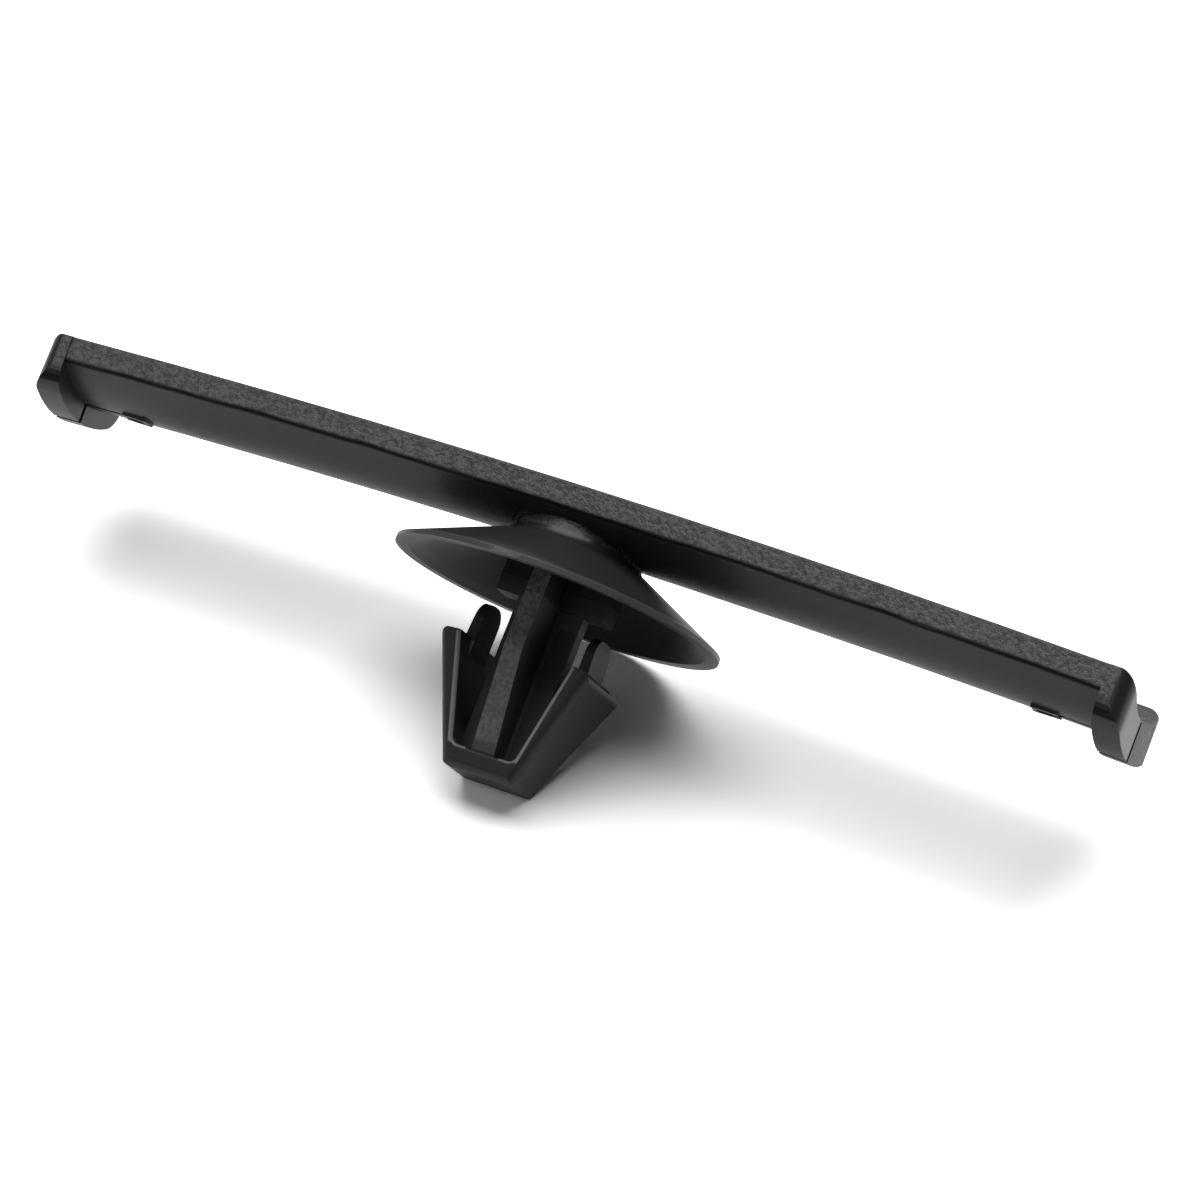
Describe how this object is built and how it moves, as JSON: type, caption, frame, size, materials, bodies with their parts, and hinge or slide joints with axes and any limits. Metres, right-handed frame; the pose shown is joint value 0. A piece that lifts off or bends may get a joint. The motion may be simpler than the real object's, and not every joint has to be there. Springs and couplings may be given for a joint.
{
  "type": "cable bundling clip",
  "caption": "Moulded clip with a bowed saddle bar that a cable bundle is taped to, over a springy umbrella and an arrowhead that snaps into a round panel hole.",
  "frame": {"origin": "on the arrowhead's axis, level with the umbrella's flat seat on the panel", "axes": "+X along the bar, +Y across it, +Z out of the panel towards the bar; the arrowhead points along -Z"},
  "size_m": [0.0628, 0.018, 0.0155],
  "materials": {
    "black_nylon": "satin black moulded nylon, spark-textured on the bar's sides and in its gutter"
  },
  "bodies": {
    "root": {"bundling_clip": "black_nylon"}
  },
  "joints": []
}
